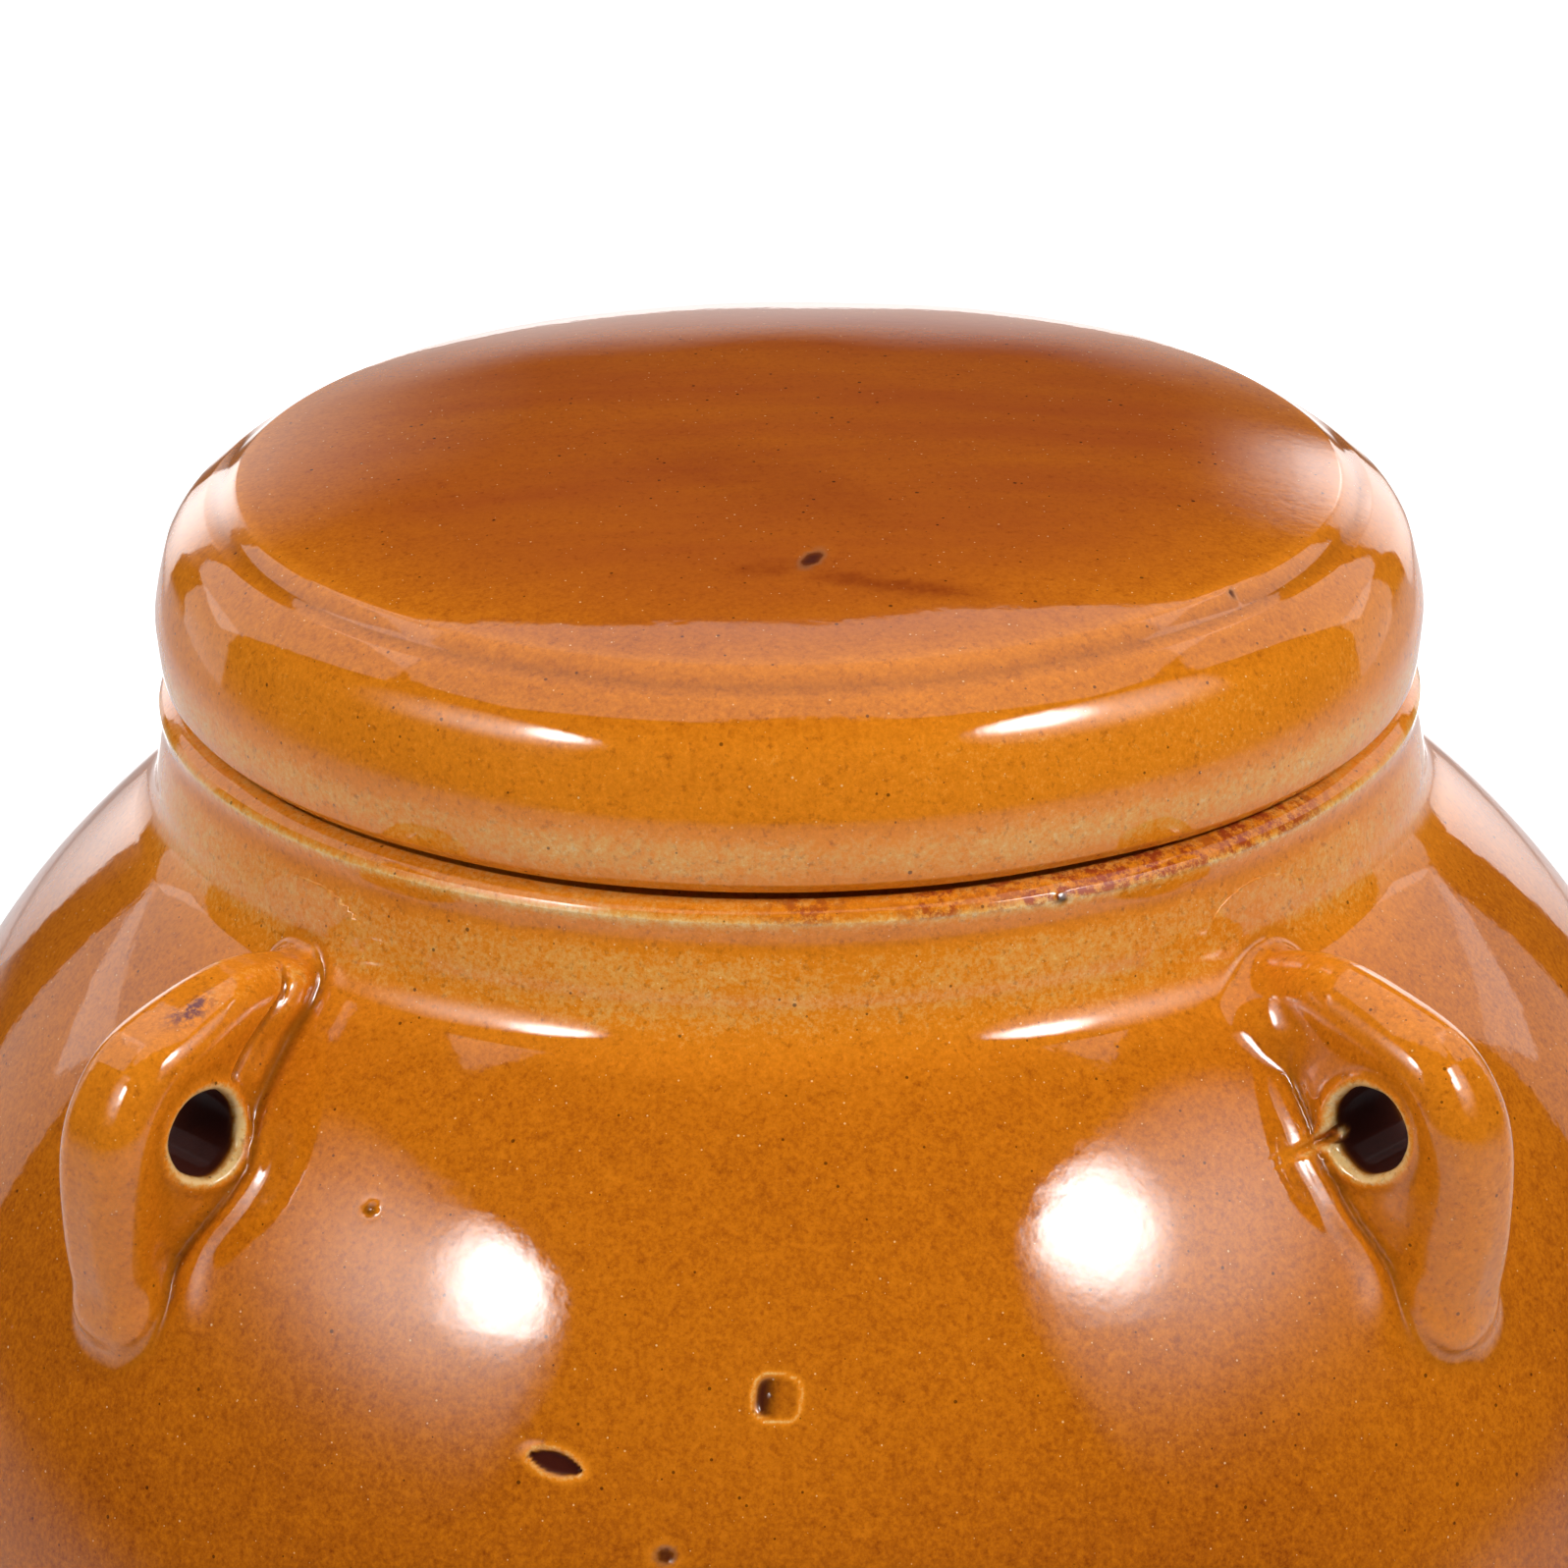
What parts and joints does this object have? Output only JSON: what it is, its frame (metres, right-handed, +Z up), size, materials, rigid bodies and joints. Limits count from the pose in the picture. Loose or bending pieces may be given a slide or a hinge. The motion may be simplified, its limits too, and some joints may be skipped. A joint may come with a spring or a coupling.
{
  "type": "water seal pickle jar",
  "caption": "Round-bellied glazed stoneware fermenting jar with a water trough round its mouth, a capped outer lid standing in the trough, a loose inner lid and pierced lugs.",
  "frame": {"origin": "middle of the foot's resting face", "axes": "+Z up along the jar's axis; the front, between two lugs, faces -Y; +X to the right"},
  "size_m": [0.234, 0.234, 0.2354],
  "materials": {
    "amber_glaze": "glossy transparent amber brown glaze over stoneware"
  },
  "bodies": {
    "jar": {"jar_body": "amber_glaze", "mouth_neck": "amber_glaze", "trough_collar": "amber_glaze", "lug_front_left": "amber_glaze", "lug_front_right": "amber_glaze", "lug_rear_left": "amber_glaze", "lug_rear_right": "amber_glaze"},
    "inner_lid": {"inner_lid": "amber_glaze", "inner_lid_knob": "amber_glaze"},
    "outer_lid": {"outer_lid": "amber_glaze"}
  },
  "joints": [
    {"name": "inner_lid_lift", "type": "slide", "parent": "jar", "child": "inner_lid", "axis": [0, 0, 1], "range_m": [0, 0.04]},
    {"name": "outer_lid_lift", "type": "slide", "parent": "inner_lid", "child": "outer_lid", "axis": [0, 0, 1], "range_m": [0, 0.07]}
  ]
}
